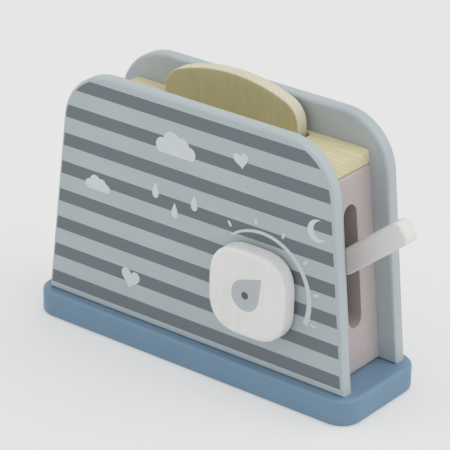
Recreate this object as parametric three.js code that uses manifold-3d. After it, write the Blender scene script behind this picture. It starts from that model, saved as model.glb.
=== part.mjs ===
// Wooden toy toaster: a striped front board and a plain back board stand on a blue base, with two
// leaning end boards and a slotted top plate between them. A tray inside carries the bread. It runs
// on two guide rods, and its lever comes out through a tall slot in the right end board.
// Millimetres. X runs along the length with the lever at +X, Y runs in depth with the front at -Y,
// Z is up. The origin is the middle of the base's underside.

import * as THREE from 'three';
import { mergeVertices } from 'three/addons/utils/BufferGeometryUtils.js';
import Module from 'manifold-3d';

const wasm = await Module();
wasm.setup();

// Toast: a thin board with an arched top
const TOAST_WIDTH = 85;
const TOAST_HEIGHT = 90;
const TOAST_THICK = 8;
const TOAST_ARCH = 94;
const TOAST_SHOULDER = 14;
const TOAST_FOOT = 6;
const TOAST_ROUND = 1;
const TOAST_PROUD = 23;
const TOAST_SUNK = 3.5;

// Top plate and its two bread slots, one along each board
const PLATE_THICK = 8;
const PLATE_ROUND = 0.75;
const PLATE_INSET = 1;
const BREAD_SIDE_GAP = 0.5;
const BREAD_END_GAP = 3;
const BREAD_SLOT_EDGE = 2.5;
const BREAD_CENTRE = -4.5;

// Front and back boards: a trapezoid with large round top corners
const BOARD = 8;
const BODY_DEPTH = 54;
const PANEL_RISE = 16.5;
const PANEL_REACH = 32.5;
const PANEL_TAPER = 13.5;
const PANEL_CORNER = 30;
const PANEL_ROUND = 1.75;

// Base board, which shows all round the front and back boards
const BASE_THICK = 14.5;
const BASE_END = 6.5;
const BASE_LEDGE = 5.25;
const BASE_CORNER = 12;
const BASE_ROUND = 2;

// End boards, which lean with the sloping sides of the front and back boards
const END_BOARD = 8;
const END_RECESS = 10.25;
const END_ROUND = 2;

// Bread tray, drawn at the height where the lever is halfway down its slot
const TRAY_THICK = 6;
const TRAY_FLOOR_GAP = 13;
const TRAY_END = 5;
const TRAY_CORNER = 4;
const TRAY_SIDE_GAP = 1;

// Lever, one board on edge: a foot on the tray, an arm through the slot and a handle that rises
const LEVER_HEIGHT = 10;
const LEVER_LIFT = 8.25;
const LEVER_SIDE_GAP = 0.5;
const LEVER_ROUND = 1.25;
const LEVER_FOOT = 72;
const LEVER_FOOT_INSET = 6;
const LEVER_FOOT_NOSE = 6;
const NECK_RUN = 5;
const HANDLE_LENGTH = 40;
const HANDLE_THICK = 12.5;
const HANDLE_RISE = THREE.MathUtils.degToRad(39);
const HANDLE_CORNER = 4;
const ARM_CORNER = 4;

// Slot for the lever in the right end board
const SLOT_WIDTH = 11;
const SLOT_FOOT_GAP = 3;
const SLOT_HEAD = 15;

// Guide rods and the holes that hold them
const ROD_RADIUS = 3.5;
const ROD_SINK = 5;
const ROD_RUNNING_GAP = 0.5;
const ROD_PLATE_WALL = 1.7;

// Dowel pins that join the end boards to the front and back boards
const PIN_RADIUS = 2;
const PIN_COVER = 3;
const PIN_END_WALL = 5.5;
const PIN_FOOT = 26;
const PIN_HEAD = 22;

// Wood screws with countersunk heads
const SCREW_RADIUS = 1.6;
const SCREW_HEAD_RADIUS = 3.4;
const SCREW_HEAD_DEPTH = 2.4;
const SCREW_TIP = 3;
const SCREW_SINK = 0.6;
const RECESS_ARM = 1.7;
const RECESS_WIDTH = 0.8;
const RECESS_DEPTH = 1.1;
const BASE_SCREW_LENGTH = 30;
const BASE_SCREW_INSET = 26;
const LEVER_SCREW_LENGTH = 17;
const LEVER_SCREW_INSET = 14;

// Turning knob on the front board
const KNOB_INSET = 53;
const KNOB_RISE = 44;
const KNOB_RADIUS = 25;
const KNOB_LOBE = 1.5;
const KNOB_LOBES = 4;
const KNOB_THICK = 11;
const KNOB_ROUND = 2.5;
const SPACER_RADIUS = 8;
const SPACER_THICK = 1;
const KNOB_SCREW_RADIUS = 2;
const KNOB_SCREW_BITE = 8;
const KNOB_HEAD_RADIUS = 3.8;
const KNOB_HEAD_THICK = 2.2;
const WASHER_RADIUS = 5;
const WASHER_THICK = 0.8;

// Shared fits: the gap between a piece and the hole that it sits in, and how far a cut overruns
const FIT_GAP = 0.3;
const OVERRUN = 2;

// Fineness of round shapes
const ROUND_STEPS = 3;
const FINE_ARC = 8;
const SMALL_ARC = 4;
const RING_SIDES = 24;
const PIN_SIDES = 16;

// Depth inside the body, and the bread slots in it
const FRONT_FACE = -BODY_DEPTH / 2;
const INNER_HALF_DEPTH = BODY_DEPTH / 2 - BOARD;
const BREAD_SLOT_WIDTH = TOAST_THICK + BREAD_SIDE_GAP * 2;
const BREAD_SLOT_LENGTH = TOAST_WIDTH + BREAD_END_GAP * 2;
const BREAD_SLOT_MIDDLE = INNER_HALF_DEPTH - BREAD_SLOT_EDGE - BREAD_SLOT_WIDTH / 2;

// Heights of the tray, the plate, the boards and the lever
const TRAVEL_DOWN = TOAST_PROUD + TOAST_SUNK;
const TRAY_BOTTOM = BASE_THICK + TRAY_FLOOR_GAP + TRAVEL_DOWN;
const TRAY_TOP = TRAY_BOTTOM + TRAY_THICK;
const PLATE_TOP = TRAY_TOP + TOAST_HEIGHT - TOAST_PROUD;
const PLATE_BOTTOM = PLATE_TOP - PLATE_THICK;
const PANEL_HEIGHT = PLATE_TOP + PANEL_RISE - BASE_THICK;
const LEVER_BOTTOM = TRAY_TOP + LEVER_LIFT;
const SLOT_BOTTOM = LEVER_BOTTOM - TRAVEL_DOWN - SLOT_FOOT_GAP;
const SLOT_TOP = PLATE_BOTTOM - SLOT_HEAD;

// Lengths of the boards, and of the base under them
const BREAD_SLOT_FAR = BREAD_SLOT_LENGTH / 2 + Math.abs(BREAD_CENTRE);
const SHOULDER_HALF = BREAD_SLOT_FAR + PANEL_REACH;
const FOOT_HALF = SHOULDER_HALF + PANEL_TAPER;
const LEAN = Math.atan2(PANEL_TAPER, PANEL_HEIGHT);
const BASE_LENGTH = (FOOT_HALF + BASE_END) * 2;
const BASE_WIDTH = BODY_DEPTH + BASE_LEDGE * 2;

// Places of the rods, the tray, the lever's foot, the pins, the screws and the knob
const ROD_ALONG = BREAD_SLOT_FAR + ROD_PLATE_WALL + FIT_GAP + ROD_RADIUS;
const TRAY_HALF_WIDTH = INNER_HALF_DEPTH - TRAY_SIDE_GAP;
const LEVER_WIDTH = SLOT_WIDTH - LEVER_SIDE_GAP * 2;
const ROD_ACROSS = (LEVER_WIDTH / 2 + TRAY_HALF_WIDTH) / 2;
const TRAY_HALF_LENGTH = ROD_ALONG + ROD_RADIUS + ROD_RUNNING_GAP + TRAY_END;
const FOOT_END = TRAY_HALF_LENGTH - LEVER_FOOT_INSET;
const FOOT_START = FOOT_END - LEVER_FOOT;
const PIN_IN_PANEL = BOARD - PIN_COVER;
const PIN_IN_END = INNER_HALF_DEPTH - SLOT_WIDTH / 2 - PIN_END_WALL;
const PIN_LOW = BASE_THICK + PIN_FOOT;
const PIN_HIGH = PLATE_BOTTOM - PIN_HEAD;
const BASE_SCREW_ALONG = FOOT_HALF - BASE_SCREW_INSET;
const KNOB_X = FOOT_HALF - KNOB_INSET;
const KNOB_Z = BASE_THICK + KNOB_RISE;

// Turns a flat outline so that its height stands along Z, and its thickness runs towards -Y
const STAND = new THREE.Matrix4().makeBasis(
  new THREE.Vector3(1, 0, 0), new THREE.Vector3(0, 0, 1), new THREE.Vector3(0, -1, 0));
// Turns a flat outline so that it faces along X
const FACE_END = new THREE.Matrix4().makeBasis(
  new THREE.Vector3(0, 1, 0), new THREE.Vector3(0, 0, 1), new THREE.Vector3(1, 0, 0));

// Materials
const paint = (color, roughness) => new THREE.MeshStandardMaterial({ color, roughness, metalness: 0 });
const BLUE_PAINT = paint(0x7596b0, 0.5);
const GREY_PAINT = paint(0xa8b3b8, 0.5);
const PINK_PAINT = paint(0xb9a9ac, 0.55);
const WHITE_PAINT = paint(0xe2e2df, 0.45);
const BARE_WOOD = paint(0xcdc08a, 0.7);
const FELT = paint(0x9aa1a4, 0.95);
const STEEL = new THREE.MeshStandardMaterial({ color: 0xb8bcc0, roughness: 0.35, metalness: 1 });

const toaster = new THREE.Group();

// Half length of the front and back boards at a height
function halfLengthAt(z) {
  return FOOT_HALF - (z - BASE_THICK) * Math.tan(LEAN);
}

// Outer face of an end board at a height
function endFaceAt(z) {
  return halfLengthAt(z) - END_RECESS;
}

// Closed mesh to solid
function solidOf(geometry) {
  const bare = geometry.clone();
  bare.deleteAttribute('normal');
  bare.deleteAttribute('uv');
  const welded = mergeVertices(bare);
  const vertProperties = new Float32Array(welded.attributes.position.array);
  const triVerts = new Uint32Array(welded.index.array);
  return new wasm.Manifold(new wasm.Mesh({ numProp: 3, vertProperties, triVerts }));
}

// Solid back to a mesh's geometry
function geometryOf(solid) {
  const { vertProperties, triVerts } = solid.getMesh();
  const geometry = new THREE.BufferGeometry();
  geometry.setAttribute('position', new THREE.BufferAttribute(vertProperties, 3));
  geometry.setIndex(new THREE.BufferAttribute(triVerts, 1));
  geometry.computeVertexNormals();
  return geometry;
}

// Takes each cutter away from a body
function cut(body, cutters) {
  return geometryOf(cutters.reduce((left, cutter) => left.subtract(solidOf(cutter)), solidOf(body)));
}

// Closed outline through corners [x, y, radius], each radius a true arc
function outline(corners) {
  const shape = new THREE.Shape();
  const count = corners.length;
  corners.forEach(([x, y, radius], index) => {
    const [beforeX, beforeY] = corners[(index + count - 1) % count];
    const [afterX, afterY] = corners[(index + 1) % count];
    const corner = new THREE.Vector2(x, y);
    const back = new THREE.Vector2(beforeX, beforeY).sub(corner).normalize();
    const on = new THREE.Vector2(afterX, afterY).sub(corner).normalize();
    const place = index === 0 ? 'moveTo' : 'lineTo';
    if (radius === 0) {
      shape[place](x, y);
      return;
    }
    const half = Math.acos(back.dot(on)) / 2;
    const start = corner.clone().addScaledVector(back, radius / Math.tan(half));
    const end = corner.clone().addScaledVector(on, radius / Math.tan(half));
    const middle = back.clone().add(on).normalize();
    const centre = corner.clone().addScaledVector(middle, radius / Math.sin(half));
    const from = start.clone().sub(centre).angle();
    const to = end.clone().sub(centre).angle();
    const turnsRight = back.cross(on) > 0;
    shape[place](start.x, start.y);
    shape.absarc(centre.x, centre.y, radius, from, to, turnsRight);
  });
  shape.closePath();
  return shape;
}

// Upright slot or lying slot with full round ends, about its own middle
function roundSlot(width, height) {
  const radius = Math.min(width, height) / 2;
  const x = width / 2 - radius;
  const y = height / 2 - radius;
  const shape = new THREE.Shape();
  if (x > 0) {
    shape.absarc(x, 0, radius, -Math.PI / 2, Math.PI / 2);
    shape.absarc(-x, 0, radius, Math.PI / 2, Math.PI * 3 / 2);
  } else {
    shape.absarc(0, y, radius, 0, Math.PI);
    shape.absarc(0, -y, radius, Math.PI, Math.PI * 2);
  }
  shape.closePath();
  return shape;
}

// Board of a given thickness from an outline, its two faces' edges rounded
function board(shape, thick, round, curveSegments) {
  const geometry = new THREE.ExtrudeGeometry(shape, {
    depth: thick - round * 2,
    bevelEnabled: round > 0,
    bevelThickness: round,
    bevelSize: round,
    bevelOffset: -round,
    bevelSegments: ROUND_STEPS,
    curveSegments,
  });
  return geometry.translate(0, 0, round);
}

// Round bar along Z from its foot at zero
function bar(radius, length, sides) {
  return new THREE.CylinderGeometry(radius, radius, length, sides)
    .applyMatrix4(STAND)
    .translate(0, 0, length / 2);
}

// Flat ring along Z
function ring(radius, bore, thick) {
  const shape = new THREE.Shape();
  shape.absarc(0, 0, radius, 0, Math.PI * 2);
  const hole = new THREE.Path();
  hole.absarc(0, 0, bore, 0, Math.PI * 2);
  shape.holes.push(hole);
  return board(shape, thick, 0, RING_SIDES / 2);
}

// Adds a named piece to the toaster
function piece(name, geometry, material, x, y, z) {
  const mesh = new THREE.Mesh(geometry, material);
  mesh.name = name;
  mesh.position.set(x, y, z);
  toaster.add(mesh);
  return mesh;
}

// Screws

// Screw with its head's face at zero and its point upwards, larger all over by a gap when it cuts
function screwBody(length, gap) {
  const tip = Math.min(SCREW_TIP, length - SCREW_HEAD_DEPTH);
  const profile = [
    new THREE.Vector2(0, gap > 0 ? -OVERRUN : 0),
    new THREE.Vector2(SCREW_HEAD_RADIUS + gap, gap > 0 ? -OVERRUN : 0),
    new THREE.Vector2(SCREW_HEAD_RADIUS + gap, 0),
    new THREE.Vector2(SCREW_RADIUS + gap, SCREW_HEAD_DEPTH),
    new THREE.Vector2(SCREW_RADIUS + gap, length - (gap > 0 ? 0 : tip)),
    new THREE.Vector2(0, length + gap),
  ];
  const used = gap > 0 ? profile : profile.slice(0, 1).concat(profile.slice(2));
  return new THREE.LatheGeometry(used, PIN_SIDES).applyMatrix4(STAND);
}

// Screw with a cross recess in its head
function screw(length) {
  const arm = () => new THREE.BoxGeometry(RECESS_ARM * 2, RECESS_WIDTH, RECESS_DEPTH * 2);
  const crossArm = new THREE.BoxGeometry(RECESS_WIDTH, RECESS_ARM * 2, RECESS_DEPTH * 2);
  return cut(screwBody(length, 0), [arm(), crossArm]);
}

// Corners of the base where a screw comes up into a panel's foot
function baseScrewPlaces() {
  const across = BODY_DEPTH / 2 - BOARD / 2;
  return [[-1, -1], [1, -1], [-1, 1], [1, 1]].map(([side, face]) => [side * BASE_SCREW_ALONG, face * across]);
}

// The two places under the lever's foot where screws come up through the tray
function leverScrewPlaces() {
  return [FOOT_START + LEVER_SCREW_INSET, FOOT_END - LEVER_SCREW_INSET];
}

// Guide rods stand on a diagonal, clear of the lever's arm
function rodPlaces() {
  return [[-ROD_ALONG, -ROD_ACROSS], [ROD_ALONG, ROD_ACROSS]];
}

function baseBoard() {
  const x = BASE_LENGTH / 2;
  const y = BASE_WIDTH / 2;
  const plan = outline([
    [-x, -y, BASE_CORNER], [x, -y, BASE_CORNER], [x, y, BASE_CORNER], [-x, y, BASE_CORNER]]);
  const screwHoles = baseScrewPlaces().map(([sx, sy]) =>
    screwBody(BASE_SCREW_LENGTH, FIT_GAP).translate(sx, sy, SCREW_SINK));
  const rodHoles = rodPlaces().map(([rx, ry]) =>
    bar(ROD_RADIUS + FIT_GAP, ROD_SINK + OVERRUN, RING_SIDES).translate(rx, ry, BASE_THICK - ROD_SINK));
  return cut(board(plan, BASE_THICK, BASE_ROUND, SMALL_ARC), [...screwHoles, ...rodHoles]);
}

// Outline of the front and back boards from the foot up
function panelOutline() {
  return outline([
    [-FOOT_HALF, 0, 0], [FOOT_HALF, 0, 0],
    [SHOULDER_HALF, PANEL_HEIGHT, PANEL_CORNER], [-SHOULDER_HALF, PANEL_HEIGHT, PANEL_CORNER]]);
}

// Middle of an end board's thickness at a height
function pinPlace(z) {
  return endFaceAt(z) - END_BOARD / Math.cos(LEAN) / 2;
}

// Where the pins join the ends to a panel: [x, height]
function pinPlaces() {
  return [-1, 1].flatMap((side) => [PIN_LOW, PIN_HIGH].map((z) => [side * pinPlace(z), z]));
}

// Board standing with its outer face at the front, foot at zero, middle of its thickness at y zero
function panel(extraCutters) {
  const body = board(panelOutline(), BOARD, PANEL_ROUND, FINE_ARC).applyMatrix4(STAND).translate(0, BOARD / 2, 0);
  const pinHoles = pinPlaces().map(([x, z]) =>
    bar(PIN_RADIUS + FIT_GAP, PIN_IN_PANEL + FIT_GAP + OVERRUN, PIN_SIDES)
      .applyMatrix4(STAND)
      .translate(x, BOARD / 2 + OVERRUN, z - BASE_THICK));
  const screwHoles = [-1, 1].map((side) =>
    screwBody(BASE_SCREW_LENGTH, FIT_GAP).translate(side * BASE_SCREW_ALONG, 0, SCREW_SINK - BASE_THICK));
  return cut(body, [...pinHoles, ...screwHoles, ...extraCutters]);
}

function frontPanel() {
  const recess = WASHER_THICK + KNOB_HEAD_THICK + FIT_GAP;
  const seat = bar(WASHER_RADIUS + FIT_GAP, recess + OVERRUN, RING_SIDES)
    .applyMatrix4(STAND)
    .translate(KNOB_X, BOARD / 2 + OVERRUN, KNOB_Z - BASE_THICK);
  const bore = bar(KNOB_SCREW_RADIUS + FIT_GAP, BOARD + OVERRUN * 2, RING_SIDES)
    .applyMatrix4(STAND)
    .translate(KNOB_X, BOARD / 2 + OVERRUN, KNOB_Z - BASE_THICK);
  return panel([seat, bore]);
}

// Leaning board between the panels, for the +X end
function endBoard() {
  const slant = END_BOARD / Math.cos(LEAN);
  const foot = endFaceAt(BASE_THICK);
  const head = endFaceAt(PLATE_BOTTOM);
  const height = PLATE_BOTTOM - BASE_THICK;
  const section = outline([
    [foot - slant, 0, 0], [foot, 0, END_ROUND], [head, height, END_ROUND], [head - slant, height, 0]]);
  const body = board(section, INNER_HALF_DEPTH * 2, 0, SMALL_ARC)
    .applyMatrix4(STAND)
    .translate(0, INNER_HALF_DEPTH, 0);
  const pinHoles = [PIN_LOW, PIN_HIGH].flatMap((z) => [-1, 1].map((face) => {
    const depth = PIN_IN_END + FIT_GAP + OVERRUN;
    const reach = INNER_HALF_DEPTH + OVERRUN;
    return bar(PIN_RADIUS + FIT_GAP, depth, PIN_SIDES)
      .applyMatrix4(STAND)
      .translate(pinPlace(z), face > 0 ? reach : depth - reach, z - BASE_THICK);
  }));
  return [body, pinHoles];
}

function leftEndPanel() {
  const [body, pinHoles] = endBoard();
  return cut(body, pinHoles).rotateZ(Math.PI);
}

function rightEndPanel() {
  const [body, pinHoles] = endBoard();
  const slotHeight = SLOT_TOP - SLOT_BOTTOM;
  const start = endFaceAt(PLATE_BOTTOM) - END_BOARD - OVERRUN * 2;
  const slot = board(roundSlot(SLOT_WIDTH, slotHeight), endFaceAt(BASE_THICK) + OVERRUN - start, 0, SMALL_ARC)
    .applyMatrix4(FACE_END)
    .translate(start, 0, (SLOT_TOP + SLOT_BOTTOM) / 2 - BASE_THICK);
  return cut(body, [...pinHoles, slot]);
}

function topPlate() {
  const x = endFaceAt(PLATE_BOTTOM) - PLATE_INSET;
  const y = INNER_HALF_DEPTH;
  const plan = outline([[-x, -y, 0], [x, -y, 0], [x, y, 0], [-x, y, 0]]);
  [-1, 1].forEach((face) => {
    const points = roundSlot(BREAD_SLOT_LENGTH, BREAD_SLOT_WIDTH).getPoints(SMALL_ARC);
    const shift = new THREE.Vector2(BREAD_CENTRE, face * BREAD_SLOT_MIDDLE);
    plan.holes.push(new THREE.Path(points.map((point) => point.add(shift))));
  });
  const rodHoles = rodPlaces().map(([rx, ry]) =>
    bar(ROD_RADIUS + FIT_GAP, ROD_SINK + OVERRUN, RING_SIDES).translate(rx, ry, -OVERRUN));
  return cut(board(plan, PLATE_THICK, PLATE_ROUND, SMALL_ARC), rodHoles);
}

function breadTray() {
  const x = TRAY_HALF_LENGTH;
  const y = TRAY_HALF_WIDTH;
  const plan = outline([
    [-x, -y, TRAY_CORNER], [x, -y, TRAY_CORNER], [x, y, TRAY_CORNER], [-x, y, TRAY_CORNER]]);
  const rodHoles = rodPlaces().map(([rx, ry]) =>
    bar(ROD_RADIUS + ROD_RUNNING_GAP, TRAY_THICK + OVERRUN * 2, RING_SIDES).translate(rx, ry, -OVERRUN));
  const screwHoles = leverScrewPlaces().map((sx) =>
    screwBody(LEVER_SCREW_LENGTH, FIT_GAP).translate(sx, 0, SCREW_SINK));
  return cut(board(plan, TRAY_THICK, 0, SMALL_ARC), [...rodHoles, ...screwHoles]);
}

// Outline of the lever seen from the front, its foot's underside at zero
function leverOutline() {
  const low = LEVER_LIFT;
  const high = LEVER_LIFT + LEVER_HEIGHT;
  const along = new THREE.Vector2(Math.cos(HANDLE_RISE), Math.sin(HANDLE_RISE));
  const across = new THREE.Vector2(-along.y, along.x);
  const drop = HANDLE_THICK / 2 / along.x;
  const mouth = new THREE.Vector2(endFaceAt(LEVER_BOTTOM), low + drop);
  const tip = mouth.clone().addScaledVector(along, HANDLE_LENGTH);
  const tipLow = tip.clone().addScaledVector(across, -HANDLE_THICK / 2);
  const tipHigh = tip.clone().addScaledVector(across, HANDLE_THICK / 2);
  const bendHigh = mouth.x + (high - mouth.y - drop) / Math.tan(HANDLE_RISE);
  return outline([
    [FOOT_START, 0, 0], [FOOT_END, 0, 0], [FOOT_END + NECK_RUN, low, 0], [mouth.x, low, ARM_CORNER],
    [tipLow.x, tipLow.y, HANDLE_CORNER], [tipHigh.x, tipHigh.y, HANDLE_CORNER],
    [bendHigh, high, ARM_CORNER], [FOOT_START + high - LEVER_FOOT_NOSE, high, 0],
    [FOOT_START, LEVER_FOOT_NOSE, 0]]);
}

function lever() {
  const body = board(leverOutline(), LEVER_WIDTH, LEVER_ROUND, SMALL_ARC)
    .applyMatrix4(STAND)
    .translate(0, LEVER_WIDTH / 2, 0);
  const screwHoles = leverScrewPlaces().map((sx) =>
    screwBody(LEVER_SCREW_LENGTH, FIT_GAP).translate(sx, 0, SCREW_SINK - TRAY_THICK));
  return cut(body, screwHoles);
}

// Bread slice: straight sides, round foot corners, shoulders that run into one wide arch
function toastSlice() {
  const half = TOAST_WIDTH / 2;
  const archCentre = TOAST_HEIGHT - TOAST_ARCH;
  const inset = half - TOAST_SHOULDER;
  const rise = Math.sqrt((TOAST_ARCH - TOAST_SHOULDER) ** 2 - inset ** 2);
  const angle = Math.atan2(rise, inset);
  const shape = new THREE.Shape();
  shape.absarc(half - TOAST_FOOT, TOAST_FOOT, TOAST_FOOT, -Math.PI / 2, 0);
  shape.absarc(inset, archCentre + rise, TOAST_SHOULDER, 0, angle);
  shape.absarc(0, archCentre, TOAST_ARCH, angle, Math.PI - angle);
  shape.absarc(-inset, archCentre + rise, TOAST_SHOULDER, Math.PI - angle, Math.PI);
  shape.absarc(TOAST_FOOT - half, TOAST_FOOT, TOAST_FOOT, Math.PI, Math.PI * 3 / 2);
  shape.closePath();
  return board(shape, TOAST_THICK, TOAST_ROUND, FINE_ARC).applyMatrix4(STAND).translate(0, TOAST_THICK / 2, 0);
}

// Knob with soft lobes, its back at y zero, bored for its screw
function knob() {
  const shape = new THREE.Shape();
  const steps = RING_SIDES * 2;
  for (let step = 0; step < steps; step += 1) {
    const angle = (step / steps) * Math.PI * 2;
    const radius = KNOB_RADIUS - KNOB_LOBE * Math.cos(angle * KNOB_LOBES);
    const place = step === 0 ? 'moveTo' : 'lineTo';
    shape[place](radius * Math.cos(angle), radius * Math.sin(angle));
  }
  shape.closePath();
  const body = board(shape, KNOB_THICK, KNOB_ROUND, SMALL_ARC).applyMatrix4(STAND);
  const bore = bar(KNOB_SCREW_RADIUS + FIT_GAP, KNOB_SCREW_BITE + FIT_GAP + OVERRUN, PIN_SIDES)
    .applyMatrix4(STAND)
    .translate(0, OVERRUN, 0);
  return cut(body, [bore]);
}

// Screw that comes from inside the front board into the knob, its head's inner face at y zero
function knobScrew() {
  const reach = KNOB_HEAD_THICK + WASHER_THICK + panelWeb() + SPACER_THICK + KNOB_SCREW_BITE;
  const profile = [
    new THREE.Vector2(0, 0), new THREE.Vector2(KNOB_HEAD_RADIUS, 0),
    new THREE.Vector2(KNOB_HEAD_RADIUS, KNOB_HEAD_THICK), new THREE.Vector2(KNOB_SCREW_RADIUS, KNOB_HEAD_THICK),
    new THREE.Vector2(KNOB_SCREW_RADIUS, reach - KNOB_SCREW_RADIUS), new THREE.Vector2(0, reach)];
  const body = new THREE.LatheGeometry(profile, PIN_SIDES).applyMatrix4(STAND);
  const arm = new THREE.BoxGeometry(RECESS_ARM * 2, RECESS_WIDTH, RECESS_DEPTH * 2);
  const crossArm = new THREE.BoxGeometry(RECESS_WIDTH, RECESS_ARM * 2, RECESS_DEPTH * 2);
  return cut(body, [arm, crossArm]).applyMatrix4(STAND);
}

// Thickness of the front board that is left behind the knob screw's head
function panelWeb() {
  return BOARD - WASHER_THICK - KNOB_HEAD_THICK - FIT_GAP;
}

function addShell() {
  const across = BODY_DEPTH / 2 - BOARD / 2;
  piece('base', baseBoard(), BLUE_PAINT, 0, 0, 0);
  piece('front_panel', frontPanel(), GREY_PAINT, 0, -across, BASE_THICK);
  piece('back_panel', panel([]).rotateZ(Math.PI), GREY_PAINT, 0, across, BASE_THICK);
  piece('left_end_panel', leftEndPanel(), PINK_PAINT, 0, 0, BASE_THICK);
  piece('right_end_panel', rightEndPanel(), PINK_PAINT, 0, 0, BASE_THICK);
  piece('top_plate', topPlate(), BARE_WOOD, 0, 0, PLATE_BOTTOM);
}

function addFasteners() {
  baseScrewPlaces().forEach(([x, y], index) => {
    piece(`base_screw_${index + 1}`, screw(BASE_SCREW_LENGTH), STEEL, x, y, SCREW_SINK);
  });
  leverScrewPlaces().forEach((x, index) => {
    piece(`lever_screw_${index + 1}`, screw(LEVER_SCREW_LENGTH), STEEL, x, 0, TRAY_BOTTOM + SCREW_SINK);
  });
  ['front', 'back'].forEach((face) => {
    const sign = face === 'front' ? -1 : 1;
    const middle = INNER_HALF_DEPTH + (PIN_IN_PANEL - PIN_IN_END) / 2;
    pinPlaces().forEach(([x, z]) => {
      const end = x < 0 ? 'left' : 'right';
      const level = z === PIN_LOW ? 'low' : 'high';
      const length = PIN_IN_PANEL + PIN_IN_END;
      const pin = bar(PIN_RADIUS, length, PIN_SIDES).applyMatrix4(STAND).translate(0, length / 2, 0);
      piece(`dowel_pin_${face}_${end}_${level}`, pin, BARE_WOOD, x, sign * middle, z);
    });
  });
}

function addBreadLift() {
  const floor = BASE_THICK - ROD_SINK;
  const rodLength = PLATE_BOTTOM + ROD_SINK - floor;
  rodPlaces().forEach(([x, y]) => {
    const rod = bar(ROD_RADIUS, rodLength, RING_SIDES);
    piece(`guide_rod_${x < 0 ? 'left' : 'right'}`, rod, BARE_WOOD, x, y, floor);
  });
  piece('bread_tray', breadTray(), BARE_WOOD, 0, 0, TRAY_BOTTOM);
  piece('lever', lever(), WHITE_PAINT, 0, 0, TRAY_TOP);
  piece('toast_slice', toastSlice(), BARE_WOOD, BREAD_CENTRE, BREAD_SLOT_MIDDLE, TRAY_TOP);
}

function addKnob() {
  const spacerBack = FRONT_FACE;
  const knobBack = spacerBack - SPACER_THICK;
  const washerBack = FRONT_FACE + panelWeb() + WASHER_THICK;
  const spacer = ring(SPACER_RADIUS, KNOB_SCREW_RADIUS + FIT_GAP, SPACER_THICK).applyMatrix4(STAND);
  const washer = ring(WASHER_RADIUS, KNOB_SCREW_RADIUS + FIT_GAP, WASHER_THICK).applyMatrix4(STAND);
  piece('knob', knob(), WHITE_PAINT, KNOB_X, knobBack, KNOB_Z);
  piece('knob_spacer', spacer, FELT, KNOB_X, spacerBack, KNOB_Z);
  piece('knob_washer', washer, STEEL, KNOB_X, washerBack, KNOB_Z);
  piece('knob_screw', knobScrew(), STEEL, KNOB_X, washerBack + KNOB_HEAD_THICK, KNOB_Z);
}

addShell();
addFasteners();
addBreadLift();
addKnob();

export default toaster;
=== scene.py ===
"""Looks of the wooden toy toaster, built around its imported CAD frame.

Metres, Z up; the striped front board looks to -Y. Patterns are set in millimetres of the toy.
"""

import math

import bmesh
import bpy
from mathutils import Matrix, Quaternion, Vector


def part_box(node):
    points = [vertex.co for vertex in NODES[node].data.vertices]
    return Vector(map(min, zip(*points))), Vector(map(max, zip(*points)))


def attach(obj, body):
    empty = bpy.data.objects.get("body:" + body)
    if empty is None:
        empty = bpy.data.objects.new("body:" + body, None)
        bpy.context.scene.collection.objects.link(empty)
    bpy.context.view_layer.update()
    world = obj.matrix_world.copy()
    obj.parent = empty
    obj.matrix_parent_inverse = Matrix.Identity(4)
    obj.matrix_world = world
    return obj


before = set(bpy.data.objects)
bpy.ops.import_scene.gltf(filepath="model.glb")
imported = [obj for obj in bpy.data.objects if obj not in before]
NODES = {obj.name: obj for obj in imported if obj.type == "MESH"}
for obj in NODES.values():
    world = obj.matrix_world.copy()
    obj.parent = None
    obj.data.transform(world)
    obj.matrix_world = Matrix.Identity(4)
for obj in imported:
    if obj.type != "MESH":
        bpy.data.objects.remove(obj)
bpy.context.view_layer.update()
MM = 0.001
X, Y, Z = 0, 1, 2

# Camera, as the photograph looks at the toaster: angles in degrees, distance and aim in metres,
# lens and sensor in millimetres
CAMERA_AZIMUTH = 37.321
CAMERA_ELEVATION = 25.012
CAMERA_ROLL = 1.322
CAMERA_DISTANCE = 1.3
CAMERA_AIM = Vector((0.0, 0.0, 0.070))
CAMERA_LENS = 203.54
SENSOR_WIDTH = 36.0

# Light: level is the share of a facing white surface that a lamp lights by itself; angles in
# degrees, lamp sizes and distance in metres
AMBIENT = 0.60
LAMP_DISTANCE = 2.6
KEY = {"azimuth": 112, "elevation": 52, "size": 3.8, "level": 0.46}
FILL = {"azimuth": -60, "elevation": 35, "size": 2.6, "level": 0.18}

# Paints, as sRGB hex
STRIPE_DARK = "727c82"
STRIPE_LIGHT = "bbc5c8"
BACK_GREY = "bac3c7"
BASE_BLUE = "7998b1"
END_PINK = "c3b8b8"
KNOB_WHITE = "ececeb"
LEVER_WHITE = "e9e8e6"
PRINT_WHITE = "d9dfe3"
POINTER_GREY = "c0c5c8"
POINTER_DARK = "5b6064"

# Woods, as sRGB hex: early wood, late wood
PLATE_WOOD = ("e6debd", "d8cda6")
TOAST_EDGE_WOOD = ("e3dfcc", "d6d0b7")
# The toast's face tones are darker than its edge tones: partly toasted colour, partly painted
# shade of faces that look away from the light
TOAST_FACE_WOOD = ("c9c097", "bfb68b")
INNER_WOOD = ("d3caa8", "bfb48b")

# Other finishes, as sRGB hex: two tones that a pattern mixes, or one
STEEL = ("a9adb2", "c6c9cc")
FELT = ("6f7679", "a3a9ab")
FLOOR = ("f4f4f3", "f8f8f7")
FLOOR_TONE = "e4e4e4"
BACKDROP = "eeeeed"
WORLD_WHITE = "ffffff"

# Noise: where most of its values lie, the detail of patches, the detail and roughness of fibres
NOISE_SPAN = (0.3, 0.7)
PATCH_DETAIL = 3.0
FIBRE_DETAIL = 3.0
FIBRE_ROUGHNESS = 0.55

# Stripes on the front board, in millimetres down from its top edge
STRIPE_DROP = 4.3
STRIPE_PERIOD = 16.2
STRIPE_SHARE = 0.44
STRIPE_COUNT = 8
STRIPE_EDGE = 0.12
STRIPE_WAVER = 0.04
STRIPE_WAVER_SCALE = 0.8

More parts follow.
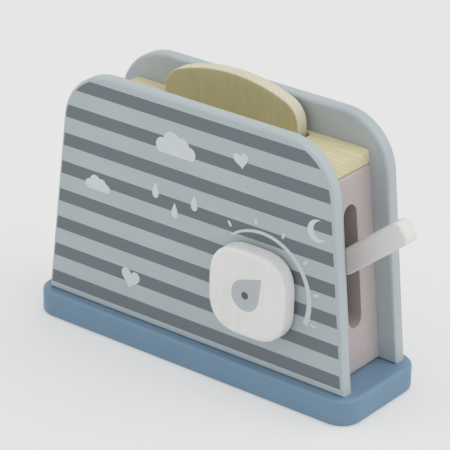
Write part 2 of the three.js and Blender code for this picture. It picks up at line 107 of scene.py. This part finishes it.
# Ink of the dark stripes: how far behind the front face it may lie, in millimetres; its speckle
# per millimetre and its least share; what it takes off the roughness and adds to the relief
INK_DEPTH = 0.03
INK_SPECKLE = 4.0
INK_SPECKLE_SPAN = (0.25, 0.45)
INK_LEAST = 0.93
INK_GLOSS = 0.06
INK_HEIGHT = 0.25

# Satin paint on sanded wood: patterns per millimetre, as one number or along and across the
# grain; relief in millimetres; mixes are the weights of patches and streaks, of grain and peel
PAINT_CLOUD = 0.03
PAINT_STREAK = (0.02, 0.5)
PAINT_GRAIN = (0.05, 1.1)
PAINT_PEEL = 0.9
PAINT_GLOSS = 0.12
PAINT_SHADE = 0.035
PAINT_SHADE_SPAN = (0.35, 0.65)
PAINT_SHADE_MIX = (0.6, 0.4)
PAINT_ROUGH = (0.37, 0.47)
PAINT_RELIEF = 0.025
PAINT_RELIEF_MIX = (0.7, 0.3)

# Growth rings: period and waver in millimetres; rise and fall of the dark as shares of one ring
RING_PERIOD = 2.6
RING_WAVER = 26.0
RING_WAVER_SCALE = (0.012, 0.03)
RING_STRETCH = 0.02
RING_RISE = (0.1, 0.86)
RING_FALL = (0.9, 0.99)
RING_POWER = 2.2

# Bare wood: the same kind of numbers as for paint; mixes are the weights of rings, fibres and
# broad bands, and of grain and pores
WOOD_FIBRE = (0.04, 1.6)
WOOD_BROAD = (0.006, 0.06)
WOOD_MIX = (0.5, 0.35, 0.3)
WOOD_GRAIN = (0.05, 2.2)
WOOD_PORES = 1.4
WOOD_ROUGH = (0.52, 0.68)
WOOD_RELIEF = 0.09
WOOD_RELIEF_MIX = (0.8, 0.2)

# From the middle of its growth rings to each piece's zero, in millimetres
PLATE_FROM_PITH = (0.0, 30.0, -60.0)
TRAY_FROM_PITH = (0.0, 40.0, -30.0)
TOAST_FROM_PITH = (30.0, 40.0, 0.0)
ROD_FROM_PITH = (20.0, 20.0, 0.0)
PIN_FROM_PITH = (20.0, 0.0, 20.0)

# Toast: depth below its two faces where the browner colour (toasted tone and painted shade) starts
# and is full, in millimetres
TOAST_BROWN_START = 0.35
TOAST_BROWN_FULL = 0.1

# Steel and felt: patterns per millimetre, relief in millimetres
STEEL_CLOUD = 1.6
STEEL_GRAIN = 3.0
STEEL_ROUGH = (0.26, 0.42)
STEEL_RELIEF = 0.02
FELT_FUZZ = 2.5
FELT_FUZZ_DETAIL = 5.0
FELT_FUZZ_ROUGHNESS = 0.7
FELT_ROUGH = 0.95
FELT_RELIEF = 0.25
FELT_SHEEN = 0.25

# Smooth shading and soft edges: lengths in millimetres, angle in degrees, weight of large faces
# on the modifier's own scale
EDGE_RADIUS = 0.6
EDGE_SAMPLES = 6
WELD_DISTANCE = 0.002
SHARP_ANGLE = 40
FACE_WEIGHT = 100

# Printed pieces, in millimetres: how far they sink in and stand proud
PRINT_SINK = 0.05
PRINT_PROUD = 0.10

# Heart outline: weights of one to four waves, then its width, lift and unit
HEART_WAVES = (13, -5, -2, -1)
HEART_WIDTH = 16
HEART_LIFT = 2.5
HEART_UNIT = 17

# Cloud outline: across, up and radius of each puff, and how far up its flat foot lies
PUFFS = ((-0.62, 0.3, 0.34), (-0.18, 0.56, 0.42), (0.33, 0.47, 0.36), (0.68, 0.27, 0.30))
CLOUD_FOOT = 0.3

# Scale round the knob and pointer on it: lengths in millimetres, turns in degrees, inset of the
# first and last tick as a share of the gap between two
SCALE_RADIUS = 29.0
SCALE_WIDTHS = (1.3, 3.2)
SCALE_START = 128
SCALE_END = -22
SCALE_TICKS = 6
TICK_INSET = 0.15
TICK_GAP = 1.2
TICK_LENGTH = 3.2
TICK_WIDTH = 1.5
POINTER_LENGTH = 15.0
POINTER_TURN = 50
DOT_RADIUS = 2.0

# Floor: radius in metres, drop in millimetres, pattern per millimetre, share of its even tone
FLOOR_RADIUS = 12.0
FLOOR_SIDES = 96
FLOOR_DROP = 0.05
FLOOR_CLOUD = 0.004
FLOOR_ROUGH = 0.9
FLOOR_EVEN = 0.5

# Corners and middles of three nodes, in millimetres
BOARD_LOW, BOARD_HIGH = (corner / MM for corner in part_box("front_panel"))
KNOB_LOW, KNOB_HIGH = (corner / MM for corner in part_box("knob"))
TOAST_LOW, TOAST_HIGH = (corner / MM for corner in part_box("toast_slice"))
BOARD_MIDDLE = (BOARD_LOW + BOARD_HIGH) / 2
KNOB_MIDDLE = (KNOB_LOW + KNOB_HIGH) / 2


def linear(code):
    """sRGB hex code to a linear colour with alpha."""
    out = []
    for start in (0, 2, 4):
        value = int(code[start:start + 2], 16) / 255
        out.append(value / 12.92 if value <= 0.04045 else ((value + 0.055) / 1.055) ** 2.4)
    return (*out, 1.0)


# Material nodes


class Tree:
    """Short calls that add nodes to one material."""

    def __init__(self, name):
        self.material = bpy.data.materials.new(name)
        self.material.use_nodes = True
        self.tree = self.material.node_tree
        self.tree.nodes.clear()
        self.coords = None

    def add(self, kind, inputs=(), **settings):
        """One node; each of its inputs holds a value or the socket to link."""
        node = self.tree.nodes.new(kind)
        for key, value in settings.items():
            setattr(node, key, value)
        for key, value in dict(inputs).items():
            if isinstance(value, bpy.types.NodeSocket):
                self.tree.links.new(value, node.inputs[key])
            else:
                node.inputs[key].default_value = value
        return node

    def millimetres(self):
        """The piece's own coordinates, in millimetres."""
        if self.coords is None:
            metres = self.add("ShaderNodeTexCoord").outputs["Object"]
            self.coords = self.stretch(metres, (1 / MM, 1 / MM, 1 / MM))
        return self.coords

    def vector(self, operation, *operands):
        inputs = dict(enumerate(operands))
        return self.add("ShaderNodeVectorMath", inputs, operation=operation).outputs

    def stretch(self, vector, scale):
        return self.vector("MULTIPLY", vector, scale)[0]

    def shift(self, vector, offset):
        return self.vector("ADD", vector, offset)[0]

    def length(self, vector):
        return self.vector("LENGTH", vector)["Value"]

    def part(self, vector, axis):
        return self.add("ShaderNodeSeparateXYZ", {0: vector}).outputs[axis]

    def math(self, operation, *operands):
        inputs = dict(enumerate(operands))
        return self.add("ShaderNodeMath", inputs, operation=operation).outputs[0]

    def blend(self, patterns, weights):
        """Sum of patterns, each times its weight, held to 1 at most."""
        total = 0.0
        for pattern, weight in zip(patterns, weights):
            total = self.math("MULTIPLY_ADD", pattern, weight, total)
        return self.math("MINIMUM", total, 1.0)

    def noise(self, vector, scale=1.0, detail=2.0, roughness=0.5):
        inputs = {"Vector": vector, "Scale": scale, "Detail": detail, "Roughness": roughness}
        return self.add("ShaderNodeTexNoise", inputs).outputs[0]

    def span(self, value, low, high, to_low=0.0, to_high=1.0):
        """Maps low..high to to_low..to_high, held at both ends."""
        inputs = {0: value, 1: low, 2: high, 3: to_low, 4: to_high}
        return self.add("ShaderNodeMapRange", inputs).outputs[0]

    def mix(self, factor, first, second):
        """Mix of two colours, which are the node's sockets 6, 7 and 2."""
        inputs = {0: factor, 6: first, 7: second}
        return self.add("ShaderNodeMix", inputs, data_type="RGBA").outputs[2]

    def bump(self, height, distance, soft_edge=False):
        """Relief of a height in millimetres, over edges that look slightly rounded if asked."""
        inputs = {"Height": height, "Distance": distance * MM}
        if soft_edge:
            edge = self.add("ShaderNodeBevel", {"Radius": EDGE_RADIUS * MM}, samples=EDGE_SAMPLES)
            inputs["Normal"] = edge.outputs[0]
        return self.add("ShaderNodeBump", inputs).outputs[0]

    def surface(self, **inputs):
        """Ends the material in one Principled shader."""
        named = {key.replace("_", " "): value for key, value in inputs.items()}
        shader = self.add("ShaderNodeBsdfPrincipled", named)
        self.add("ShaderNodeOutputMaterial", {0: shader.outputs[0]})
        return self.material


def along_axis(axis, along, across):
    scale = [across] * 3
    scale[axis] = along
    return tuple(scale)


def fibres(tree, axis, scales):
    """Fine streaks along one axis."""
    stretched = tree.stretch(tree.millimetres(), along_axis(axis, *scales))
    return tree.noise(stretched, 1.0, FIBRE_DETAIL, FIBRE_ROUGHNESS)


def rings(tree, axis, from_pith):
    """Growth rings round a line along one axis, wavering along the board."""
    waver = tree.noise(tree.stretch(tree.millimetres(), along_axis(axis, *RING_WAVER_SCALE)))
    shifted = tree.shift(tree.millimetres(), from_pith)
    radius = tree.length(tree.stretch(shifted, along_axis(axis, RING_STRETCH, 1.0)))
    warped = tree.math("ADD", radius, tree.math("MULTIPLY", waver, RING_WAVER))
    turn = tree.math("FRACT", tree.math("DIVIDE", warped, RING_PERIOD))
    rise = tree.span(turn, *RING_RISE)
    fall = tree.span(turn, *RING_FALL, 1.0, 0.0)
    return tree.math("MULTIPLY", tree.math("POWER", rise, RING_POWER), fall)


# Paint


def paint_relief(tree, axis):
    """Height of satin paint over sanded wood: faint grain and a fine orange peel."""
    peel = tree.noise(tree.millimetres(), PAINT_PEEL)
    return tree.blend((fibres(tree, axis, PAINT_GRAIN), peel), PAINT_RELIEF_MIX)


def paint_shade(tree, colour, axis):
    """Paint colour with the faint unevenness of a sprayed board."""
    patches = tree.noise(tree.millimetres(), PAINT_CLOUD, PATCH_DETAIL)
    both = tree.blend((patches, fibres(tree, axis, PAINT_STREAK)), PAINT_SHADE_MIX)
    base = linear(colour)[:3]
    dark = (*(channel * (1 - PAINT_SHADE) for channel in base), 1.0)
    light = (*(min(1.0, channel * (1 + PAINT_SHADE)) for channel in base), 1.0)
    return tree.mix(tree.span(both, *PAINT_SHADE_SPAN), dark, light)


def paint_gloss(tree):
    patches = tree.noise(tree.millimetres(), PAINT_GLOSS, PATCH_DETAIL)
    return tree.span(patches, *NOISE_SPAN, *PAINT_ROUGH)


def painted(name, colour, axis, soft_edge=False):
    tree = Tree(name)
    return tree.surface(
        Base_Color=paint_shade(tree, colour, axis), Roughness=paint_gloss(tree),
        Normal=tree.bump(paint_relief(tree, axis), PAINT_RELIEF, soft_edge))


def stripe_mask(tree):
    """One on the dark stripes of the board's flat front face, zero elsewhere."""
    own = tree.millimetres()
    noise = tree.noise(own, STRIPE_WAVER_SCALE)
    waver = tree.span(noise, *NOISE_SPAN, -STRIPE_WAVER, STRIPE_WAVER)
    height = tree.math("ADD", tree.part(own, Z), waver)
    down = tree.math("SUBTRACT", BOARD_HIGH.z - STRIPE_DROP, height)
    turn = tree.math("FRACT", tree.math("DIVIDE", down, STRIPE_PERIOD))
    inside = tree.math("MULTIPLY", turn, STRIPE_PERIOD)
    width = STRIPE_PERIOD * STRIPE_SHARE
    mask = tree.math("MULTIPLY", tree.span(inside, 0.0, STRIPE_EDGE),
                     tree.span(inside, width, width + STRIPE_EDGE, 1.0, 0.0))
    limits = (tree.math("LESS_THAN", tree.part(own, Y), BOARD_LOW.y + INK_DEPTH),
              tree.math("GREATER_THAN", down, 0.0),
              tree.math("LESS_THAN", down, STRIPE_PERIOD * STRIPE_COUNT))
    for limit in limits:
        mask = tree.math("MULTIPLY", mask, limit)
    return mask


def striped(name):
    """Front board: pale ground, with darker stripes printed on its flat front face."""
    tree = Tree(name)
    mask = stripe_mask(tree)
    speckle = tree.noise(tree.millimetres(), INK_SPECKLE)
    share = tree.span(speckle, *INK_SPECKLE_SPAN, INK_LEAST, 1.0)
    colour = tree.mix(tree.math("MULTIPLY", mask, share), paint_shade(tree, STRIPE_LIGHT, X),
                      paint_shade(tree, STRIPE_DARK, X))
    gloss = tree.math("SUBTRACT", paint_gloss(tree), tree.math("MULTIPLY", mask, INK_GLOSS))
    relief = tree.blend((paint_relief(tree, X), mask), (1.0, INK_HEIGHT))
    return tree.surface(Base_Color=colour, Roughness=gloss, Normal=tree.bump(relief, PAINT_RELIEF))


# Wood, steel and felt


def wood_colour(tree, tones, axis, from_pith):
    light, dark = (linear(tone) for tone in tones)
    fibre = tree.span(fibres(tree, axis, WOOD_FIBRE), *NOISE_SPAN)
    broad = tree.span(fibres(tree, axis, WOOD_BROAD), *NOISE_SPAN)
    late = tree.blend((rings(tree, axis, from_pith), fibre, broad), WOOD_MIX)
    return tree.mix(late, light, dark)


def wood_relief(tree, axis, soft_edge=False):
    pores = tree.noise(tree.millimetres(), WOOD_PORES)
    height = tree.blend((fibres(tree, axis, WOOD_GRAIN), pores), WOOD_RELIEF_MIX)
    return tree.bump(height, WOOD_RELIEF, soft_edge)


def wood_gloss(tree, axis):
    return tree.span(fibres(tree, axis, PAINT_GRAIN), *NOISE_SPAN, *WOOD_ROUGH)


def bare_wood(name, tones, axis, from_pith, soft_edge=False):
    tree = Tree(name)
    return tree.surface(
        Base_Color=wood_colour(tree, tones, axis, from_pith), Roughness=wood_gloss(tree, axis),
        Normal=wood_relief(tree, axis, soft_edge))


def toasted_and_shaded_wood(name, axis, from_pith):
    """Toast: browner on its two faces, partly toasted tone and partly painted shade of faces that
    look away from the light; pale round its edge.
    """
    tree = Tree(name)
    middle = (TOAST_LOW.y + TOAST_HIGH.y) / 2
    half = (TOAST_HIGH.y - TOAST_LOW.y) / 2
    off = tree.math("ABSOLUTE", tree.math("SUBTRACT", tree.part(tree.millimetres(), Y), middle))
    face = tree.span(off, half - TOAST_BROWN_START, half - TOAST_BROWN_FULL)
    edge = wood_colour(tree, TOAST_EDGE_WOOD, axis, from_pith)
    front = wood_colour(tree, TOAST_FACE_WOOD, axis, from_pith)
    return tree.surface(
        Base_Color=tree.mix(face, edge, front), Roughness=wood_gloss(tree, axis),
        Normal=wood_relief(tree, axis))


def steel(name):
    tree = Tree(name)
    patches = tree.noise(tree.millimetres(), STEEL_CLOUD, PATCH_DETAIL)
    height = tree.noise(tree.millimetres(), STEEL_GRAIN, PATCH_DETAIL)
    return tree.surface(
        Base_Color=tree.mix(patches, *(linear(tone) for tone in STEEL)), Metallic=1.0,
        Roughness=tree.span(patches, *NOISE_SPAN, *STEEL_ROUGH),
        Normal=tree.bump(height, STEEL_RELIEF))


def felt(name):
    tree = Tree(name)
    fuzz = tree.noise(tree.millimetres(), FELT_FUZZ, FELT_FUZZ_DETAIL, FELT_FUZZ_ROUGHNESS)
    return tree.surface(
        Base_Color=tree.mix(fuzz, *(linear(tone) for tone in FELT)), Roughness=FELT_ROUGH,
        Normal=tree.bump(fuzz, FELT_RELIEF), Sheen_Weight=FELT_SHEEN)


# CAD nodes: finish and smooth shading


def smooth_group():
    """Node group that welds a CAD mesh and shades its rounded edges smoothly."""
    group = bpy.data.node_groups.new("smooth_rounds", "GeometryNodeTree")
    group.interface.new_socket("Geometry", in_out="INPUT", socket_type="NodeSocketGeometry")
    group.interface.new_socket("Geometry", in_out="OUTPUT", socket_type="NodeSocketGeometry")
    first = group.nodes.new("NodeGroupInput")
    weld = group.nodes.new("GeometryNodeMergeByDistance")
    weld.inputs["Distance"].default_value = WELD_DISTANCE * MM
    strip = group.nodes.new("GeometryNodeRemoveAttribute")
    strip.inputs["Name"].default_value = "custom_normal"
    faces = group.nodes.new("GeometryNodeSetShadeSmooth")
    faces.domain = "FACE"
    edges = group.nodes.new("GeometryNodeSetShadeSmooth")
    edges.domain = "EDGE"
    edges.inputs["Shade Smooth"].default_value = False
    angle = group.nodes.new("GeometryNodeInputMeshEdgeAngle")
    sharp = group.nodes.new("FunctionNodeCompare")
    sharp.operation = "GREATER_THAN"
    sharp.inputs["B"].default_value = math.radians(SHARP_ANGLE)
    last = group.nodes.new("NodeGroupOutput")
    link = group.links.new
    link(first.outputs[0], weld.inputs["Geometry"])
    link(weld.outputs["Geometry"], strip.inputs["Geometry"])
    link(strip.outputs["Geometry"], faces.inputs["Geometry"])
    link(faces.outputs["Geometry"], edges.inputs["Geometry"])
    link(angle.outputs["Unsigned Angle"], sharp.inputs["A"])
    link(sharp.outputs["Result"], edges.inputs["Selection"])
    link(edges.outputs["Geometry"], last.inputs[0])
    return group


def smooth(node, group):
    piece = NODES[node]
    piece.modifiers.new("smooth_rounds", "NODES").node_group = group
    weigh = piece.modifiers.new("flat_faces", "WEIGHTED_NORMAL")
    weigh.keep_sharp = True
    weigh.weight = FACE_WEIGHT


def finishes():
    """Material of each CAD node."""
    grey = painted("grey_paint", BACK_GREY, X)
    pink = painted("pink_paint", END_PINK, Z, soft_edge=True)
    rod = bare_wood("rod_wood", INNER_WOOD, Z, ROD_FROM_PITH)
    metal = steel("zinc_steel")
    pin = bare_wood("pin_wood", INNER_WOOD, Y, PIN_FROM_PITH)
    finish = {
        "base": painted("blue_paint", BASE_BLUE, X),
        "front_panel": striped("striped_paint"),
        "back_panel": grey,
        "left_end_panel": pink,
        "right_end_panel": pink,
        "top_plate": bare_wood("plate_wood", PLATE_WOOD, X, PLATE_FROM_PITH),
        "bread_tray": bare_wood("inner_wood", INNER_WOOD, X, TRAY_FROM_PITH, soft_edge=True),
        "guide_rod_left": rod,
        "guide_rod_right": rod,
        "toast_slice": toasted_and_shaded_wood("toast_wood", Z, TOAST_FROM_PITH),
        "lever": painted("lever_paint", LEVER_WHITE, X),
        "knob": painted("knob_paint", KNOB_WHITE, Z),
        "knob_spacer": felt("felt_disc"),
        "knob_washer": metal,
    }
    for node in NODES:
        if "screw" in node:
            finish[node] = metal
        elif node.startswith("dowel_pin"):
            finish[node] = pin
    return finish


def dress_nodes():
    group = smooth_group()
    finish = finishes()
    for node in sorted(NODES):
        for slot in NODES[node].material_slots:
            slot.material = finish[node]
        smooth(node, group)


# Print


def print_piece(name, outlines, face_y, body, material):
    """Thin printed shapes on a face that looks to -Y; outlines hold (x, z) in millimetres."""
    mesh = bpy.data.meshes.new(name)
    work = bmesh.new()
    for points in outlines:
        rim = [work.verts.new((x * MM, (face_y + PRINT_SINK) * MM, z * MM)) for x, z in points]
        grown = bmesh.ops.extrude_face_region(work, geom=[work.faces.new(rim)])
        moved = [item for item in grown["geom"] if isinstance(item, bmesh.types.BMVert)]
        bmesh.ops.translate(work, verts=moved, vec=(0, -(PRINT_SINK + PRINT_PROUD) * MM, 0))
    bmesh.ops.recalc_face_normals(work, faces=work.faces)
    bmesh.ops.triangulate(work, faces=work.faces)
    work.to_mesh(mesh)
    work.free()
    piece = bpy.data.objects.new(name, mesh)
    bpy.context.scene.collection.objects.link(piece)
    piece.data.materials.append(material)
    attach(piece, body)


def place(points, x, z, size, turn=0.0):
    """Unit points scaled, turned by degrees and moved to a place on the board."""
    cos, sin = math.cos(math.radians(turn)), math.sin(math.radians(turn))
    return [(x + size * (u * cos - v * sin), z + size * (u * sin + v * cos)) for u, v in points]


def polar(radius, degrees):
    return radius * math.cos(math.radians(degrees)), radius * math.sin(math.radians(degrees))


def circle(sides=28):
    return [polar(1.0, 360 * k / sides) for k in range(sides)]


def heart(steps=40):
    out = []
    for k in range(steps):
        t = 2 * math.pi * k / steps
        across = HEART_WIDTH * math.sin(t) ** 3
        up = sum(wave * math.cos(n * t) for n, wave in enumerate(HEART_WAVES, 1))
        out.append((across / HEART_UNIT, (up + HEART_LIFT) / HEART_UNIT))
    return out


def moon(steps=24, tip=52, bite=0.42):
    """Crescent open to the right: its tips lie at plus and minus tip degrees."""
    outer = [polar(1.0, tip + (360 - 2 * tip) * k / steps) for k in range(steps + 1)]
    x, y = polar(1.0, tip)
    radius, turn = math.hypot(x - bite, y), math.degrees(math.atan2(y, x - bite))
    inner = [polar(radius, turn + (360 - 2 * turn) * k / steps) for k in range(1, steps)]
    return outer + [(bite + u, v) for u, v in inner[::-1]]


def drop(steps=30, half_width=0.62, half_height=0.95, taper=1.3):
    """Drop with its point up."""
    out = []
    for k in range(steps):
        t = 2 * math.pi * k / steps
        across = half_width * math.sin(t) * math.sin(t / 2) ** taper
        out.append((across, half_height * math.cos(t)))
    return out


def cloud(steps=90):
    """Round puffs over a flat foot, as one outline."""
    out = []
    for k in range(steps):
        ray = polar(1.0, 180 * (1 - k / (steps - 1)))
        far = 0.0
        for x, y, radius in PUFFS:
            off = x * ray[1] - y * ray[0]
            if abs(off) < radius:
                far = max(far, x * ray[0] + y * ray[1] + math.sqrt(radius ** 2 - off ** 2))
        if far > 0:
            out.append((far * ray[0], far * ray[1] - CLOUD_FOOT))
    return out


def pointer(radius=0.56, tip_gap=55, steps=24):
    """Round patch drawn out to one tip, which lies at 1 along the first axis."""
    sweep = 360 - 2 * tip_gap
    return [polar(radius, tip_gap + sweep * k / steps) for k in range(steps + 1)] + [(1.0, 0.0)]


def arc_band(inner, widths, start, end, steps=48):
    """Band along an arc, whose width grows from the first of widths to the second."""
    turns = [start + (end - start) * k / steps for k in range(steps + 1)]
    grown = [inner + widths[0] + (widths[1] - widths[0]) * k / steps for k in range(steps + 1)]
    outside = [polar(outer, turn) for turn, outer in zip(turns, grown)]
    return outside + [polar(inner, turn) for turn in turns[::-1]]


def tick(inner, outer, width):
    return [(inner, width / 2), (outer, width / 2), (outer, -width / 2), (inner, -width / 2)]


# Motifs on the front board: share of its half length from the middle, share of its height, size
# in millimetres, turn in degrees
MOTIFS = {
    "print_clouds": (cloud, ((-0.12, 0.80, 13.0, 0), (-0.65, 0.53, 8.5, 0))),
    "print_drops": (drop, ((-0.25, 0.60, 4.6, 0), (-0.12, 0.54, 4.6, 0), (0.01, 0.60, 4.6, 0))),
    "print_hearts": (heart, ((0.31, 0.84, 5.0, 12), (-0.42, 0.17, 6.5, -10))),
    "print_moon": (moon, ((0.80, 0.66, 6.0, 20),)),
}


def add_motifs(white):
    half = (BOARD_HIGH.x - BOARD_LOW.x) / 2
    height = BOARD_HIGH.z - BOARD_LOW.z
    for name, (shape, places) in MOTIFS.items():
        outlines = [
            place(shape(), BOARD_MIDDLE.x + across * half, BOARD_LOW.z + up * height, size, turn)
            for across, up, size, turn in places]
        print_piece(name, outlines, BOARD_LOW.y, "housing", white)


def add_dial(white):
    """Scale round the knob: a band that widens clockwise, with short ticks outside it."""
    x, z = KNOB_MIDDLE.x, KNOB_MIDDLE.z
    outlines = [place(arc_band(SCALE_RADIUS, SCALE_WIDTHS, SCALE_START, SCALE_END), x, z, 1.0)]
    first = SCALE_RADIUS + SCALE_WIDTHS[1] + TICK_GAP
    sweep = SCALE_END - SCALE_START
    gaps = SCALE_TICKS - 1 + 2 * TICK_INSET
    for k in range(SCALE_TICKS):
        turn = SCALE_START + sweep * (k + TICK_INSET) / gaps
        outlines.append(place(tick(first, first + TICK_LENGTH, TICK_WIDTH), x, z, 1.0, turn))
    print_piece("dial_scale", outlines, BOARD_LOW.y, "housing", white)


def add_pointer():
    """Pointer and centre dot on the knob's face, which turn with it."""
    x, z = KNOB_MIDDLE.x, KNOB_MIDDLE.z
    grey = painted("pointer_grey", POINTER_GREY, X)
    dark = painted("pointer_dark", POINTER_DARK, X)
    tail = place(pointer(), x, z, POINTER_LENGTH, POINTER_TURN)
    print_piece("knob_pointer", [tail], KNOB_LOW.y, "knob", grey)
    dot = place(circle(), x, z, DOT_RADIUS)
    print_piece("knob_dot", [dot], KNOB_LOW.y - PRINT_PROUD, "knob", dark)


# Stage, light and camera


def seen_rays(nodes, link):
    """One for camera, glossy and transmission rays, zero for the rays that light the object."""
    rays = nodes.new("ShaderNodeLightPath")
    seen = rays.outputs["Is Camera Ray"]
    for kind in ("Is Glossy Ray", "Is Transmission Ray"):
        either = nodes.new("ShaderNodeMath")
        either.operation = "MAXIMUM"
        link(seen, either.inputs[0])
        link(rays.outputs[kind], either.inputs[1])
        seen = either.outputs[0]
    return seen


def floor_material():
    """Pale paper whose shadow shows at half its strength; its even tone lights nothing."""
    tree = Tree("floor_paper")
    patches = tree.noise(tree.millimetres(), FLOOR_CLOUD)
    shade = tree.mix(patches, *(linear(tone) for tone in FLOOR))
    lit = tree.add("ShaderNodeBsdfPrincipled", {"Base Color": shade, "Roughness": FLOOR_ROUGH})
    even = tree.add("ShaderNodeEmission", {"Color": linear(FLOOR_TONE)})
    share = tree.math("MULTIPLY", seen_rays(tree.tree.nodes, tree.tree.links.new), FLOOR_EVEN)
    both = tree.add("ShaderNodeMixShader", {0: share, 1: lit.outputs[0], 2: even.outputs[0]})
    tree.add("ShaderNodeOutputMaterial", {0: both.outputs[0]})
    tree.material.cycles.emission_sampling = "NONE"
    return tree.material


def add_floor():
    mesh = bpy.data.meshes.new("floor")
    work = bmesh.new()
    bmesh.ops.create_circle(work, cap_ends=True, segments=FLOOR_SIDES, radius=FLOOR_RADIUS)
    bmesh.ops.translate(work, verts=work.verts, vec=(0, 0, -FLOOR_DROP * MM))
    work.to_mesh(mesh)
    work.free()
    floor = bpy.data.objects.new("floor", mesh)
    bpy.context.scene.collection.objects.link(floor)
    floor.data.materials.append(floor_material())


def add_world():
    """Even light from all round, and a pale backdrop for camera, glossy and transmission rays."""
    world = bpy.data.worlds.new("studio")
    bpy.context.scene.world = world
    world.use_nodes = True
    nodes, link = world.node_tree.nodes, world.node_tree.links.new
    nodes.clear()
    both = nodes.new("ShaderNodeMixShader")
    link(seen_rays(nodes, link), both.inputs[0])
    for socket, (code, strength) in enumerate(((WORLD_WHITE, AMBIENT), (BACKDROP, 1.0)), 1):
        background = nodes.new("ShaderNodeBackground")
        background.inputs["Color"].default_value = linear(code)
        background.inputs["Strength"].default_value = strength
        link(background.outputs[0], both.inputs[socket])
    out = nodes.new("ShaderNodeOutputWorld")
    link(both.outputs[0], out.inputs[0])


def direction(azimuth, elevation):
    a, e = math.radians(azimuth), math.radians(elevation)
    return Vector((math.sin(a) * math.cos(e), -math.cos(a) * math.cos(e), math.sin(e)))


def look_at_aim(thing, azimuth, elevation, distance, roll=0.0):
    """Puts a lamp or camera round the aim point, looking at it."""
    away = direction(azimuth, elevation)
    spin = Quaternion((0, 0, 1), math.radians(roll))
    thing.location = CAMERA_AIM + away * distance
    thing.rotation_mode = "QUATERNION"
    thing.rotation_quaternion = away.to_track_quat("Z", "Y") @ spin
    bpy.context.scene.collection.objects.link(thing)


def add_lamp(name, azimuth, elevation, size, level):
    """Square soft lamp."""
    data = bpy.data.lights.new(name, "AREA")
    data.shape = "SQUARE"
    data.size = size
    data.energy = level * math.pi ** 2 * LAMP_DISTANCE ** 2
    look_at_aim(bpy.data.objects.new(name, data), azimuth, elevation, LAMP_DISTANCE)


def add_camera():
    data = bpy.data.cameras.new("camera")
    data.sensor_width = SENSOR_WIDTH
    data.lens = CAMERA_LENS
    camera = bpy.data.objects.new("camera", data)
    look_at_aim(camera, CAMERA_AZIMUTH, CAMERA_ELEVATION, CAMERA_DISTANCE, CAMERA_ROLL)
    bpy.context.scene.camera = camera


dress_nodes()
print_white = painted("print_white", PRINT_WHITE, X)
add_motifs(print_white)
add_dial(print_white)
add_pointer()
add_floor()
add_world()
add_lamp("key", **KEY)
add_lamp("fill", **FILL)
add_camera()
bpy.context.scene.view_settings.view_transform = "Standard"
